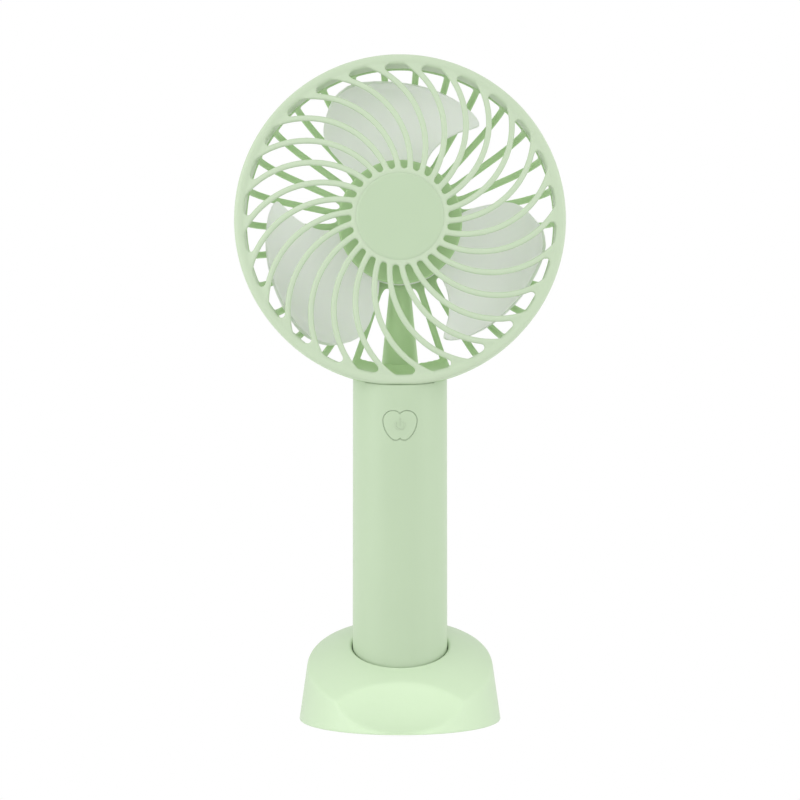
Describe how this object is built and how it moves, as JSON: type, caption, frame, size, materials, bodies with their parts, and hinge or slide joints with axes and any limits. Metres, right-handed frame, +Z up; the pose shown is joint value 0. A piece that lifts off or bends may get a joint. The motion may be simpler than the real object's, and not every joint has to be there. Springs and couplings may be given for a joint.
{
  "type": "handheld electric fan",
  "caption": "Battery-driven handheld fan with a round guarded head, plain tubular handle and push button, standing in a lift-out round table stand.",
  "frame": {"origin": "under the middle of the stand, on the surface it rests on", "axes": "+Z up along the handle, -Y the way the fan faces, +X to the right seen from the front"},
  "size_m": [0.102, 0.0628, 0.206],
  "materials": {
    "mint_plastic": "fine satin moulded ABS in pale mint green",
    "blade_plastic": "slightly translucent pale grey-white moulding",
    "steel": "plain bright steel",
    "bronze": "oil-filled sintered bronze",
    "copper_winding": "enamelled copper wire on a laminated core",
    "magnet": "plain ferrite",
    "black_plastic": "fine matt",
    "board": "green solder resist on glass fibre board",
    "light_guide": "milky clear plastic",
    "cell_wrap": "shrunk film sleeve",
    "wire_cover": "soft insulation",
    "foam": "closed-cell foam rubber"
  },
  "bodies": {
    "stand": {"stand_body": "mint_plastic", "stand_weight": "steel", "stand_base_plate": "mint_plastic", "stand_screws": "steel", "non_slip_pad": "foam"},
    "handset": {"rear_grille": "mint_plastic", "wire_channel_cover": "mint_plastic", "motor_can": "steel", "motor_magnets": "magnet", "motor_front_bush": "bronze", "motor_rear_bush": "bronze", "motor_end_cap": "black_plastic", "motor_clamp": "steel", "motor_clamp_screws": "steel", "motor_leads": "wire_cover", "handle_front_shell": "mint_plastic", "handle_rear_shell": "mint_plastic", "handle_foot_cap": "mint_plastic", "handle_screw": "steel", "screw_plug": "mint_plastic", "push_switch": "steel", "circuit_board": "board", "charge_inlet": "steel", "indicator_light_guide": "light_guide", "battery_cell": "cell_wrap", "battery_positive_tab": "steel", "battery_negative_tab": "steel", "battery_leads": "wire_cover", "battery_foam_pad": "foam"},
    "front_guard": {"front_grille": "mint_plastic", "front_cap": "mint_plastic"},
    "rotor": {"rotor_hub_cap": "mint_plastic", "impeller": "blade_plastic", "motor_shaft": "steel", "motor_armature": "copper_winding"},
    "button": {"power_button": "mint_plastic", "switch_plunger": "black_plastic"}
  },
  "joints": [
    {"name": "handset_lift", "type": "slide", "parent": "stand", "child": "handset", "axis": [0, 0, 1], "range_m": [0, 0.03]},
    {"name": "rotor_spin", "type": "hinge", "parent": "handset", "child": "rotor", "pos_m": [0, 0, 0.155], "axis": [0, 1, 0], "continuous": true},
    {"name": "front_guard_twist", "type": "hinge", "parent": "handset", "child": "front_guard", "pos_m": [0, -0.0105, 0.155], "axis": [0, 1, 0], "range_deg": [-12, 0]},
    {"name": "button_press", "type": "slide", "parent": "handset", "child": "button", "axis": [0, 1, 0], "range_m": [0, 0.0005], "stiffness_N_per_m": 300, "springref_m": -0.002}
  ]
}
